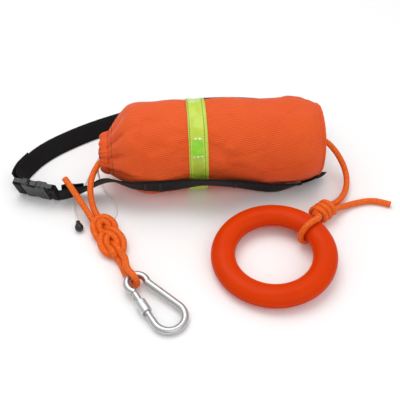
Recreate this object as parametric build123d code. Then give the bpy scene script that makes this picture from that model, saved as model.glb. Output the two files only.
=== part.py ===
from build123d import *
from math import asin, atan2, cos, degrees, radians, sin, sqrt, tan
import os

# Throw rope bag, lying on its side with its waist belt, drawcord, carabiner and float ring laid out.
# Millimetres. +X runs along the bag from the drawstring mouth to the closed base, +Z is up.
# The origin is the centre of the flat on which the filled bag rests.

# Driving dimensions
BAG_HALF = 137.0           # half of the bag's length
BAG_R = 56.0               # radius of the filled bag at its middle
AXIS_Z = 53.0              # height of the bag's axis; the fabric is pressed flat below it
FABRIC = 1.2               # coated cloth and its lining
HEM_X = -126.0             # where the drawstring hem starts
HEM_WALL = 4.4             # doubled, gathered hem with the drawcord inside
BASE_R = 43.0              # base panel
BAND_X = -17.5             # middle of the reflective band
BAND_WIDTH = 23.0
BAND_THICK = 0.6
ROPE_D = 7.6               # nominal 8 mm floating rope, slightly pulled down
DRAWCORD_D = 2.8
WEB_WIDTH = 25.0           # waist belt webbing
WEB_THICK = 1.5
RING_R = 57.8              # float ring, middle of its tube
RING_TUBE_R = 14.0         # its section is wider across than it is tall
RING_TUBE_HALF = 11.2
RING_WALL = 2.0
RING_X, RING_Y = 61.6, -155.2
RING_LIFT_ANGLE = 36.0     # direction in which the rope under the ring lifts it
CARABINER_X, CARABINER_Y = -103.2, -171.4
CARABINER_LENGTH = 91.0
CARABINER_TURN = -51.8     # direction from the small end to the big end, about +Z
WIRE_R = 4.2
EYE_R = 11.2               # small end, middle of the wire
HOOK_R = 17.4              # big end, middle of the wire
GATE_R = 3.9
SLEEVE_R = 6.1
SLEEVE_LENGTH = 15.6
BUCKLE_LENGTH = 50.5
BUCKLE_WIDTH = 33.0
BUCKLE_THICK = 10.0
BUCKLE_TURN = -19.0
BUCKLE_LEAN = 20.0
CLEAR = 0.3

ROPE_R = ROPE_D / 2
CORD_R = DRAWCORD_D / 2

# Outer outline of the filled bag, mouth to base: distance along the axis and radius
BAG_OUTLINE = [
    (HEM_X, 27.0),
    (-119.0, 35.0),
    (-112.0, 42.2),
    (-105.0, 48.6),
    (-98.0, 52.4),
    (-86.0, 54.6),
    (-50.0, 55.6),
    (0.0, BAG_R),
    (60.0, BAG_R),
    (105.0, 54.6),
    (120.0, 52.2),
    (130.0, 48.8),
    (BAG_HALF, 44.5),
]
MOUTH_DROP = 8.0           # how far the drawn mouth sags below the axis
DROP_START = -101.0

# Outer outline of the drawn hem, from the cloth's edge to the mouth
HEM_OUTLINE = [(HEM_X, 27.0), (HEM_X - 5.0, 24.6), (HEM_X - 10.5, 21.8)]
HEM_CORD_X = HEM_X - 5.6   # the drawcord's turn inside the hem
HEM_CORD_R = 22.1

os.makedirs("parts", exist_ok=True)


def save(name, shape):
    shape.label = name
    export_step(shape, f"parts/{name}.step")


def bag_radius(x):
    """Outer radius of the filled bag at one place along its axis."""
    for (x0, r0), (x1, r1) in zip(BAG_OUTLINE, BAG_OUTLINE[1:]):
        if x <= x1:
            return r0 + (r1 - r0) * (x - x0) / (x1 - x0)
    return BAG_OUTLINE[-1][1]


def mouth_drop(x):
    """How far the bag's middle lies below the axis at one place near the mouth."""
    share = min(1.0, max(0.0, (DROP_START - x) / (DROP_START - HEM_X)))
    return MOUTH_DROP * share**1.5


def coil_spring(radius, wire, pitch, height):
    path = Helix(pitch=pitch, height=height, radius=radius)
    return sweep(Plane(origin=path @ 0, z_dir=path % 0) * Circle(wire / 2), path=path)


def about_bag_axis(profile):
    """Turn an outline drawn as (x, radius) about the bag's axis."""
    face = make_face(Polyline(*profile, close=True).edges())
    return Pos(0, 0, AXIS_Z) * revolve(Plane.XZ * face, axis=Axis.X)


def above(shape, height):
    """Keep what lies above one height, as the floor presses the bag flat."""
    return shape & Pos(0, 0, height + 250) * Box(900, 900, 500)


IN_MOUTH = Pos(0, 0, -MOUTH_DROP)


def ring_in_mouth(section):
    """A round tube that follows the drawcord inside the hem."""
    return IN_MOUTH * Pos(HEM_CORD_X, 0, AXIS_Z) * Rot(0, 90, 0) * Torus(HEM_CORD_R, section)


# ---------------------------------------------------------------- bag


def bag_solid(inset):
    """The filled bag's outer shape, or one that lies inside it by the inset."""
    circles = []
    for x, radius in BAG_OUTLINE:
        centre = Vector(x, 0, AXIS_Z - mouth_drop(x))
        circles.append(Wire.make_circle(radius - inset, Plane(origin=centre, z_dir=(1, 0, 0))))
    return above(Solid.make_loft(circles, ruled=True), inset)


def bag_body():
    return bag_solid(0) - bag_solid(FABRIC)


def mouth_hem():
    inside = [(x, r - HEM_WALL) for x, r in reversed(HEM_OUTLINE)]
    ring = about_bag_axis(HEM_OUTLINE + inside)
    return IN_MOUTH * ring - ring_in_mouth(CORD_R + CLEAR / 2)


def reflective_band():
    x0 = BAND_X - BAND_WIDTH / 2
    x1 = BAND_X + BAND_WIDTH / 2
    r0, r1 = bag_radius(x0), bag_radius(x1)
    band = about_bag_axis([(x0, r0), (x1, r1), (x1, r1 + BAND_THICK), (x0, r0 + BAND_THICK)])
    return above(band, 0)


def drawcord_in_hem():
    return ring_in_mouth(CORD_R)


def tube_on_axis(x0, x1, outer, inner):
    middle = (x0 + x1) / 2
    place = Pos(middle, 0, AXIS_Z) * Rot(0, 90, 0)
    return place * Cylinder(outer, x1 - x0) - place * Cylinder(inner, x1 - x0)


GROMMET_BORE = ROPE_R + 0.6
BASE_FACE = BAG_HALF


def base_panel():
    return tube_on_axis(BASE_FACE - FABRIC, BASE_FACE, BASE_R, GROMMET_BORE + 1.2)


def base_binding():
    return tube_on_axis(BASE_FACE, BASE_FACE + 1.4, BASE_R + 2.6, BASE_R - 2.0)


def base_grommet():
    flange = tube_on_axis(BASE_FACE, BASE_FACE + 1.0, 9.0, GROMMET_BORE)
    barrel = tube_on_axis(BASE_FACE - 4.0, BASE_FACE, GROMMET_BORE + 1.1, GROMMET_BORE)
    return flange + barrel


def grommet_washer():
    return tube_on_axis(BASE_FACE - FABRIC - 1.0, BASE_FACE - FABRIC, 9.0, GROMMET_BORE + 1.2)


FOAM_X0 = 119.0
FOAM_X1 = BASE_FACE - FABRIC - 2.9


def base_foam_disc():
    return tube_on_axis(FOAM_X0, FOAM_X1, 42.0, ROPE_R + 0.8)


STOPPER_X0 = 105.0


def base_stopper_knot():
    barrel = fillet(Cylinder(12.0, FOAM_X0 - STOPPER_X0).edges(), 4.0)
    return Pos((STOPPER_X0 + FOAM_X0) / 2, 0, AXIS_Z) * Rot(0, 90, 0) * barrel


PACK_X0 = -104.0
PACK_X1 = 104.0


def stuffed_rope():
    gap = FABRIC + 0.8
    span = [(x, r - gap) for x, r in BAG_OUTLINE if PACK_X0 < x < PACK_X1]
    ends = [(x, bag_radius(x) - gap - 6) for x in (PACK_X0, PACK_X1)]
    outline = ends[:1] + span + ends[1:]
    pack = about_bag_axis(outline + [(PACK_X1, 0), (PACK_X0, 0)])
    return above(pack, gap)


# ---------------------------------------------------------------- cords


def bend_radii(points):
    """The arc at each corner: as large as the two runs beside it allow."""
    radii = []
    for before, here, after in zip(points, points[1:], points[2:]):
        a, b = Vector(here) - Vector(before), Vector(after) - Vector(here)
        half_turn = radians(a.get_angle(b)) / 2
        radii.append(0.45 * min(a.length, b.length) / tan(half_turn))
    return radii


def cord(name, points, diameter):
    """A round cord: straight runs joined by tangent arcs."""
    radii = bend_radii(points)
    path = FilletPolyline(*points, radius=radii)
    tube = sweep(Plane(origin=path @ 0, z_dir=path % 0) * Circle(diameter / 2), path=path)
    expected = 3.14159 * diameter**2 / 4 * path.length
    share = tube.volume / expected
    print(f"{name}: length {path.length:.1f}, tightest bend {min(radii):.1f}, volume {share:.3f}")
    return tube


MOUTH_ROPE = [
    (PACK_X0, -4, 48),
    (-117, -6, 46),
    (-128, -8.8, 43.6),
    (-136.5, -11.2, 41.4),
    (-141.5, -16.5, 38.8),
    (-145.5, -26, 37),
    (-148.3, -37.5, 35.2),
    (-149.6, -48.5, 31.2),
    (-149, -58, 24.5),
    (-147, -67, 17),
    (-141.0, -77.4, 11.2),
]
MOUTH_TAIL = [
    (-148.2, -82.2, 10.6),
    (-156, -68.5, 16.5),
    (-165, -56, 23.4),
    (-173.5, -44.2, 31.4),
    (-181, -33.5, 35.6),
]
BASE_ROPE = [
    (FOAM_X0, 0, AXIS_Z),
    (139, 0.3, AXIS_Z),
    (150, -1.2, 49.5),
    (160, -4.5, 40),
    (169, -10.5, 28.5),
    (175, -20, 17.5),
    (176, -33, 10),
    (171, -49, 7),
    (162, -63, 7),
    (151, -74, 9.5),
    (138.6, -81.2, 14.0),
]
RING_TAIL = [
    (144.8, -88.2, 13.0),
    (154, -81.8, 9.5),
    (167, -74.5, 5.5),
    (181, -69.5, 4.1),
    (195, -67, 4),
    (208, -68.5, 4.1),
    (222, -75.5, 4),
]
DRAWCORD_LEFT = [
    (-131, 17.0, 34.6),
    (-132.6, 14.5, 43.5),
    (-134.9, 9.6, 51.2),
    (-136.0, 5.0, 51.8),
    (-136.0, 4.6, 46),
    (-136.0, 4.6, 38.2),
    (-138.8, 4.8, 35.0),
    (-143.4, 2.2, 31.0),
    (-148, -3, 24),
    (-154.5, -8, 14),
    (-160.5, -13, 4.8),
    (-165.5, -19.5, 1.6),
    (-170.5, -29, 1.5),
    (-173.5, -42, 1.55),
    (-173, -56, 1.5),
    (-169, -68, 2.2),
    (-166.0, -78.5, 3.9),
]
DRAWCORD_RIGHT = [
    (-131, 8.5, 64.5),
    (-132.2, 6.4, 60),
    (-133.0, 4.8, 54.5),
    (-133.0, 4.6, 48),
    (-133.0, 4.6, 38.2),
    (-134.4, 2.4, 34.6),
    (-139.6, -1.2, 32.6),
    (-143.2, -4.5, 27.5),
    (-143.3, -8.5, 19),
    (-141.2, -13, 10.5),
    (-137.8, -19.5, 4.0),
    (-133.5, -27.5, 1.7),
    (-127.5, -37.5, 1.5),
    (-122, -49, 1.55),
    (-119.8, -60, 1.6),
    (-121.3, -70, 2.2),
    (-126.0, -79, 3.9),
]

# ---------------------------------------------------------------- knots


def knot_block(centre, length, width, height, turn, rounding):
    block = Box(length, width, height)
    block = fillet(block.edges(), rounding)
    return Pos(*centre) * Rot(0, 0, turn) * block


FIGURE_EIGHT_CENTRE = (-128.5, -110.5, 10.2)
FIGURE_EIGHT_TURN = -66.0
RING_KNOT_CENTRE = (130.5, -92.0, 13.8)
RING_KNOT_TURN = 37.0


def cord_end(start, end):
    """A moulded bell crimped on the end of the drawcord, lying from start to end."""
    start, end = Vector(*start), Vector(*end)
    length = (end - start).length
    shoulder = Line((0, 0), (2.6, 0))
    flank = Spline((2.6, 0), (3.6, length * 0.3), (5.1, length * 0.7), (0, length))
    half = make_face([shoulder, flank, Line((0, length), (0, 0))])
    bell = revolve(Plane.XZ * half, axis=Axis.Z)
    return Plane(origin=start, z_dir=end - start) * bell


LEFT_END = [(-166.0, -78.5, 3.9), (-162.4, -94.2, 5.9)]
RIGHT_END = [(-126.0, -79.0, 3.9), (-132.7, -93.6, 5.9)]


def figure_eight_knot():
    block = knot_block(FIGURE_EIGHT_CENTRE, 66.0, 33.0, 19.6, FIGURE_EIGHT_TURN, 8.5)
    start, end = Vector(*RIGHT_END[0]), Vector(*RIGHT_END[1])
    along = (end - start).normalized()
    room = Plane(origin=start - along * 6, z_dir=along) * Pos(0, 0, 14) * Cylinder(5.7, 28)
    return block - room


def ring_knot():
    barrel = fillet(Cylinder(13.3, 27.0).edges(), 5.0)
    return Pos(*RING_KNOT_CENTRE) * Rot(0, 0, RING_KNOT_TURN) * Rot(0, 90, 0) * barrel


# ---------------------------------------------------------------- waist belt


def strap(stations, width=WEB_WIDTH, thick=WEB_THICK):
    """Webbing on its edge: each station is its lower edge (x, y, z) and how far its top leans outward."""
    sections = []
    for i, (x, y, z, lean) in enumerate(stations):
        before = stations[max(i - 1, 0)]
        after = stations[min(i + 1, len(stations) - 1)]
        along = Vector(after[0] - before[0], after[1] - before[1], 0).normalized()
        outward = Vector(-along.Y, along.X, 0)
        up = outward * sin(radians(lean)) + Vector(0, 0, cos(radians(lean)))
        side = up.cross(along).normalized() * (thick / 2)
        low = Vector(x, y, z)
        high = low + up * width
        sections.append(Wire.make_polygon([low - side, low + side, high + side, high - side], close=True))
    return Solid.make_loft(sections, ruled=True)


def front_station(x, below, stand_off, lean, width=WEB_WIDTH):
    """A place on the bag's lower front: degrees below the axis, gap to the cloth, lean of the strap."""
    reach = bag_radius(x) + WEB_THICK / 2 + stand_off
    y = -reach * cos(radians(below)) + width / 2 * sin(radians(lean))
    z = AXIS_Z - reach * sin(radians(below)) - width / 2 * cos(radians(lean))
    return (x, y, z, lean)


REAR_BELT = [
    (-237.8, -9.0, 2.0, 18),
    (-237.6, -2.4, 1.5, 20),
    (-236.4, 4.8, 1.0, 24),
    (-233.2, 12.6, 0.8, 28),
    (-220, 33, 0.8, 36),
    (-200, 53, 0.8, 40),
    (-170, 74, 0.8, 40),
    (-138, 91.5, 0.8, 40),
    (-100, 108, 0.8, 40),
    (-60, 120.5, 0.8, 40),
    (-20, 128, 0.8, 40),
    (20, 130.5, 0.8, 40),
    (60, 127.5, 0.8, 40),
    (98, 119, 0.8, 38),
    (126, 107, 0.8, 34),
    (144, 90, 1.2, 27),
    (152, 71, 3.5, 18),
    (150.5, 53, 8, 9),
    (144.5, 41, 14, 3),
    (141.4, 31, 17, 0),
    (139.8, 23, 18, 0),
    (138.5, 15, 18, 0),
    (138.3, -6, 18, 0),
]
FRONT_BELT = [
    front_station(132, 69, 1.0, 71),
    front_station(127, 61, 1.1, 63),
    front_station(120, 51, 1.2, 53),
    front_station(112, 42, 1.6, 43),
    front_station(99, 41, 3.0, 36),
    front_station(86, 41, 4.0, 28),
    front_station(73, 38, 3.8, 26),
    front_station(62, 36, 2.4, 25),
    front_station(47, 30, 1.1, 26),
    front_station(28, 22, 1.1, 30),
    front_station(9, 13, 4.2, 32),
    front_station(-11, 9, 5.2, 32),
    front_station(-28, 13, 2.8, 26),
    front_station(-46, 18, 1.1, 20),
    front_station(-64, 20, 1.1, 18),
    front_station(-82, 19, 1.1, 23),
    front_station(-98, 20, 1.3, 31),
    (-109.5, -38.6, 24.4, 37),
]
LEFT_BELT = [
    (-110.8, -37.8, 24.5, 37),
    (-121, -32.0, 24.6, 40),
    (-134, -26.5, 18.5, 40),
    (-147, -24.0, 10.5, 38),
    (-160, -26.0, 5.2, 33),
    (-171, -30.5, 3.4, 26),
    (-180, -34.5, 3.0, 21),
    (-190.9, -37.8, 3.3, 20),
]
FOLDED_END = [
    (-163, -24.0, 6.0, 30),
    (-171, -27.0, 5.2, 24),
    (-181, -28.0, 5.5, 20),
    (-188.8, -31.3, 5.8, 20),
]
BELT_TAIL = [
    (-243.0, -9.8, 2.6, 18),
    (-241.8, -2.0, 2.2, 20),
    (-239.2, 6.4, 1.6, 24),
    (-235.4, 14.4, 1.2, 28),
    (-226.2, 28.5, 1.2, 33),
]
TACK_RISE = WEB_THICK + 0.4
TACK_WIDTH = 21.0
TACK_PLACES = [
    front_station(112, 42, 1.6 + TACK_RISE, 43, TACK_WIDTH),
    front_station(28, 22, 1.1 + TACK_RISE, 30, TACK_WIDTH),
    front_station(-64, 20, 1.1 + TACK_RISE, 18, TACK_WIDTH),
    front_station(-82, 19, 1.1 + TACK_RISE, 23, TACK_WIDTH),
]


def belt_bar_tacks():
    tacks = []
    for x, y, z, lean in TACK_PLACES:
        bar = strap([(x + 1.2, y, z, lean), (x - 1.2, y, z, lean)], TACK_WIDTH, 0.7)
        tacks.append(bar)
    for y in (12.0, 0.0):
        tacks.append(Pos(139.9, y, 18.0 + WEB_WIDTH / 2) * Box(0.7, 2.4, TACK_WIDTH))
    return Compound(children=tacks)


# ---------------------------------------------------------------- buckle
# Drawn flat: X from the ladder end to the male end, Y across the webbing, Z out of its outer face.

BUCKLE_PLACE = (
    Pos(-241.2, -15.5, 0.8)
    * Rot(0, 0, BUCKLE_TURN)
    * Rot(90 + BUCKLE_LEAN, 0, 0)
    * Pos(0, BUCKLE_WIDTH / 2, 0)
)
SPLIT_X = 36.0
WINDOW_X = 24.0
CAVITY_START = 13.0
CAVITY_WIDTH = 27.6
CAVITY_HEIGHT = 6.6
PRONG_PIVOT = (SPLIT_X + 2.0, 9.5)
PRONG_THICK = 5.4


def slot(x0, x1, width):
    return Pos((x0 + x1) / 2, 0, 0) * Box(x1 - x0, width, 30)


def buckle_female():
    shell = Pos((11 + SPLIT_X) / 2, 0, 0) * Box(SPLIT_X - 11, BUCKLE_WIDTH, BUCKLE_THICK)
    shell = fillet(shell.edges().filter_by(Axis.X), 2.5)
    cavity = Pos(CAVITY_START + 20, 0, 0) * Box(40, CAVITY_WIDTH, CAVITY_HEIGHT)
    shell -= cavity
    for side in (-1, 1):
        shell -= Pos(WINDOW_X, side * (BUCKLE_WIDTH / 2 + 2.5), 0) * Cylinder(7.5, 30)
    ladder = Pos(5.5, 0, 0) * Box(11.0, BUCKLE_WIDTH - 1, 5.2)
    ladder = fillet(ladder.edges().filter_by(Axis.Y), 1.2)
    ladder -= slot(2.4, 4.8, WEB_WIDTH + 1.5)
    ladder -= slot(7.4, 10.6, WEB_WIDTH + 1.5)
    return shell + ladder


def buckle_male():
    plate = Box(BUCKLE_LENGTH - SPLIT_X - 0.4, BUCKLE_WIDTH - 1, 5.2)
    plate = Pos((SPLIT_X + BUCKLE_LENGTH) / 2 + 0.2, 0, 0) * plate
    plate = fillet(plate.edges().filter_by(Axis.Y), 1.2)
    plate -= slot(SPLIT_X + 7.4, SPLIT_X + 11.6, WEB_WIDTH + 1.5)
    collar = Pos(SPLIT_X + 3.0, 0, 0) * Box(5.0, BUCKLE_WIDTH, BUCKLE_THICK)
    collar = fillet(collar.edges().filter_by(Axis.X), 2.5)
    guide = Pos(SPLIT_X - 8.0, 0, 0) * Box(20.0, 4.0, 4.6)
    male = plate + collar + guide
    for side in (-1, 1):
        male -= Pos(SPLIT_X + 1.5, side * 9.5, 0) * Box(5.4, 8.0, PRONG_THICK + 0.8)
    return male


def buckle_prong(side):
    outline = Polyline(
        (SPLIT_X + 3.6, 8.0),
        (SPLIT_X + 3.6, 11.0),
        (31.0, 12.0),
        (28.0, 14.4),
        (21.0, 15.0),
        (18.8, 12.4),
        (15.0, 9.5),
        (15.0, 7.6),
        (22.0, 8.4),
        close=True,
    )
    prong = extrude(make_face(outline.edges()), amount=PRONG_THICK / 2, both=True)
    return prong if side > 0 else mirror(prong, about=Plane.XZ)


def webbing_loop(x0, x1, rise):
    """Webbing turned round a bar: a flat tube across the buckle."""
    outer = fillet(Box(x1 - x0, WEB_WIDTH, 2 * rise).edges().filter_by(Axis.Y), 1.8)
    inner = Box(x1 - x0 - 2 * WEB_THICK, WEB_WIDTH, 2 * (rise - WEB_THICK))
    return Pos((x0 + x1) / 2, 0, 0) * (outer - inner)


def belt_male_loop():
    """The webbing's end, turned round the male bar and sewn back along the strap."""
    turn = BUCKLE_PLACE * webbing_loop(SPLIT_X + 9.7, SPLIT_X + 18.2, 4.4)
    return Compound(children=[turn, strap(FOLDED_END)])


# ---------------------------------------------------------------- cord lock
# It sits in the mouth; both strands of the drawcord pass down through it. Its plunger moves along Y.

LOCK_PLACE = Pos(-134.5, 2.6, 43.0)
LOCK_SIZE = (11.0, 12.0, 10.0)
LOCK_CORD_Y = 2.0
LOCK_CORD_X = 1.5
LOCK_BORE = CORD_R + 0.35
PLUNGER_X, PLUNGER_Z = 8.2, 5.0
PLUNGER_INNER, PLUNGER_OUTER = -1.5, 9.2
PLUNGER_TRAVEL = 2.6
POCKET_END = -5.0


def lock_bores():
    bores = [Pos(side * LOCK_CORD_X, LOCK_CORD_Y, 0) * Cylinder(LOCK_BORE, 40) for side in (-1, 1)]
    return bores[0] + bores[1]


def cord_lock_body():
    body = fillet(Box(*LOCK_SIZE).edges(), 1.8)
    depth = LOCK_SIZE[1] / 2 + 2 - POCKET_END
    pocket = Pos(0, POCKET_END + depth / 2, 0) * Box(PLUNGER_X + 0.5, depth, PLUNGER_Z + 0.5)
    return LOCK_PLACE * (body - pocket - lock_bores())


def cord_lock_plunger():
    length = PLUNGER_OUTER - PLUNGER_INNER
    plunger = Pos(0, PLUNGER_INNER + length / 2, 0) * fillet(Box(PLUNGER_X, length, PLUNGER_Z).edges(), 0.8)
    room = LOCK_BORE + PLUNGER_TRAVEL / 2
    width = 2 * (LOCK_CORD_X + LOCK_BORE)
    plunger -= Pos(0, LOCK_CORD_Y + PLUNGER_TRAVEL / 2, 0) * Box(width, 2 * room, 20)
    return LOCK_PLACE * plunger


def cord_lock_spring():
    height = PLUNGER_INNER - POCKET_END - 0.7
    coil = coil_spring(1.7, 0.5, height / 3, height)
    return LOCK_PLACE * Pos(0, POCKET_END + 0.35, 0) * Rot(-90, 0, 0) * coil


# ---------------------------------------------------------------- carabiner
# Drawn flat: X from the small end to the big end, Y towards the gate, Z out of its plane.

EYE_LIFT = ROPE_D + 0.5      # the rope passes under the small end and holds it up
WIRE_SPAN = CARABINER_LENGTH - 2 * WIRE_R
CARABINER_TILT = degrees(asin(EYE_LIFT / WIRE_SPAN))
TIP_Z = WIRE_R + 0.1 + EYE_LIFT * (WIRE_SPAN + WIRE_R) / WIRE_SPAN
CARABINER_PLACE = (
    Pos(CARABINER_X, CARABINER_Y, TIP_Z)
    * Rot(0, 0, CARABINER_TURN)
    * Rot(0, CARABINER_TILT, 0)
    * Rot(180, 0, 0)
)
EYE_X = WIRE_R + EYE_R
HOOK_X = CARABINER_LENGTH - WIRE_R - HOOK_R
NECK = 60.0                # where the straight sides leave the small end, from its middle
NECK_X = EYE_X + EYE_R * cos(radians(NECK))
NECK_Y = EYE_R * sin(radians(NECK))
NECK_TO_HOOK = sqrt((HOOK_X - NECK_X) ** 2 + NECK_Y**2)
FLARE = asin(HOOK_R / NECK_TO_HOOK) - atan2(NECK_Y, HOOK_X - NECK_X)
STRAIGHT = sqrt(NECK_TO_HOOK**2 - HOOK_R**2)
GATE_START = 2.8           # along the straight side, from the neck
PIN_ALONG = 6.8
GATE_END = 34.4
SLEEVE_START = 15.0


def on_side(along, sign=1):
    """A point on the straight side that leaves the small end's neck."""
    x = NECK_X + along * cos(FLARE)
    y = NECK_Y + along * sin(FLARE)
    return (x, sign * y)


GATE_FRAME = Pos(*on_side(0), 0) * Rot(0, 0, degrees(FLARE))


def along_gate(start, end, radius):
    return GATE_FRAME * Pos((start + end) / 2, 0, 0) * Rot(0, 90, 0) * Cylinder(radius, end - start)


def carabiner_body():
    eye = CenterArc((EYE_X, 0), EYE_R, NECK, 360 - 2 * NECK)
    hook = CenterArc((HOOK_X, 0), HOOK_R, 90 + degrees(FLARE), -180 - 2 * degrees(FLARE))
    spine = Line(on_side(0, sign=-1), on_side(STRAIGHT, sign=-1))
    heel = Line(on_side(0), on_side(GATE_START - CLEAR))
    nose = Line(on_side(STRAIGHT), on_side(GATE_END + CLEAR))
    body = None
    for stretch in (eye, hook, spine, heel, nose):
        start = Plane(origin=stretch @ 0, z_dir=stretch % 0)
        rod = sweep(start * Circle(WIRE_R), path=stretch)
        body = rod if body is None else body + rod
    body += Pos(*on_side(0, -1), 0) * Sphere(WIRE_R)
    tongue = Box(PIN_ALONG - GATE_START + 2, 6.0, 2.6)
    tongue = GATE_FRAME * Pos((GATE_START + PIN_ALONG) / 2, 0, 0) * tongue
    tongue += GATE_FRAME * Pos(PIN_ALONG, 0, 0) * Cylinder(3.0, 2.6)
    key = GATE_FRAME * Pos(GATE_END - 1.0, 0, 0) * Box(3.0, 3.4, 2.4)
    nose_room = along_gate(GATE_END, GATE_END + 7.0, WIRE_R + 1)
    nose_room -= along_gate(GATE_END, GATE_END + 7.0, GATE_R)
    body = body + tongue + key - nose_room
    body -= GATE_FRAME * Pos(PIN_ALONG, 0, 0) * Cylinder(1.15, 20)
    return body


def carabiner_gate():
    gate = along_gate(PIN_ALONG - 3.4, GATE_END, GATE_R)
    keep = GATE_FRAME * Pos(PIN_ALONG, 0, 0) * Cylinder(3.6, 20)
    keep += GATE_FRAME * Pos((PIN_ALONG + GATE_END) / 2, 0, 0) * Box(GATE_END - PIN_ALONG, 20, 20)
    gate = gate & keep
    gate -= GATE_FRAME * Pos(PIN_ALONG - 1, 0, 0) * Box(10.4, 20, 3.2)
    gate -= GATE_FRAME * Pos(GATE_END, 0, 0) * Box(8.6, 20, 3.0)
    gate -= along_gate(PIN_ALONG + 4.0, PIN_ALONG + 18.0, 2.1)
    gate -= GATE_FRAME * Pos(PIN_ALONG, 0, 0) * Cylinder(1.0, 20)
    return gate


def gate_hinge_pin():
    return GATE_FRAME * Pos(PIN_ALONG, 0, 0) * Cylinder(0.96, 2 * GATE_R - 0.6)


def screw_sleeve():
    end = SLEEVE_START + SLEEVE_LENGTH
    sleeve = along_gate(SLEEVE_START, end, SLEEVE_R)
    sleeve = chamfer(sleeve.edges(), 0.6)
    return sleeve - along_gate(SLEEVE_START - 1, end + 1, GATE_R + 0.35)


def gate_plunger():
    return along_gate(PIN_ALONG + 3.2, PIN_ALONG + 8.0, 1.35)


def gate_spring():
    coil = coil_spring(1.5, 0.5, 1.6, 8.9)
    return GATE_FRAME * Pos(PIN_ALONG + 8.4, 0, 0) * Rot(0, 90, 0) * coil


# ---------------------------------------------------------------- float ring

RING_TILT = degrees(asin((ROPE_D + 0.8) / (2 * RING_R)))
RING_Z = RING_TUBE_HALF + 0.15 + RING_R * sin(radians(RING_TILT))
RING_PLACE = Pos(RING_X, RING_Y, RING_Z) * Rot(0, 0, RING_LIFT_ANGLE) * Rot(0, -RING_TILT, 0)
LOOP_ANGLE = 31.0
LOOP_GAP = 0.6 + ROPE_R


def oval_ring(inset):
    section = Plane.XZ * Pos(RING_R, 0) * Ellipse(RING_TUBE_R - inset, RING_TUBE_HALF - inset)
    return revolve(section, axis=Axis.Z)


def float_ring():
    return RING_PLACE * (oval_ring(0) - oval_ring(RING_WALL))


def loop_point(angle):
    """A corner of the rope's loop round the ring's tube, in an upright plane through it."""
    corner = 1 / cos(radians(22.5))
    across = (RING_TUBE_R + LOOP_GAP) * corner
    up = (RING_TUBE_HALF + LOOP_GAP) * corner
    lift = RING_R * sin(radians(RING_TILT)) * cos(radians(LOOP_ANGLE - RING_LIFT_ANGLE))
    out = RING_R + across * cos(radians(angle))
    x = RING_X + out * cos(radians(LOOP_ANGLE))
    y = RING_Y + out * sin(radians(LOOP_ANGLE))
    return (x, y, RING_Z + lift + up * sin(radians(angle)))


RING_LOOP = (
    [(118.6, -98.4, 19.5)]
    + [loop_point(angle) for angle in (58, 103, 148, 193, 238, 283)]
    + [(121.6, -103.0, 8.6)]
)

# The bight passes over the small end's wire, down through the eye and back under the wire.
BIGHT_R = WIRE_R + 0.4 + ROPE_R
KNOT_EXIT_OVER = (-110.6, -142.6, 13.6)
KNOT_EXIT_UNDER = (-117.4, -139.6, 5.6)


def in_carabiner(along, up):
    """A point in the upright plane through the carabiner's long axis."""
    point = (CARABINER_PLACE * Pos(along, 0, -up)).position
    return (point.X, point.Y, point.Z)


def bight_corners():
    reach = BIGHT_R / cos(radians(22.5))
    middle = EYE_X - BIGHT_R
    turns = [radians(angle) for angle in (67.5, 22.5, -22.5, -67.5)]
    return [in_carabiner(middle + reach * cos(a), reach * sin(a)) for a in turns]


CARABINER_BIGHT = (
    [KNOT_EXIT_OVER, (-106.3, -151.2, 18.0), in_carabiner(-3.2, BIGHT_R + 0.2)]
    + bight_corners()
    + [in_carabiner(-4.0, -BIGHT_R), (-111.2, -150.6, 4.2), KNOT_EXIT_UNDER]
)


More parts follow.
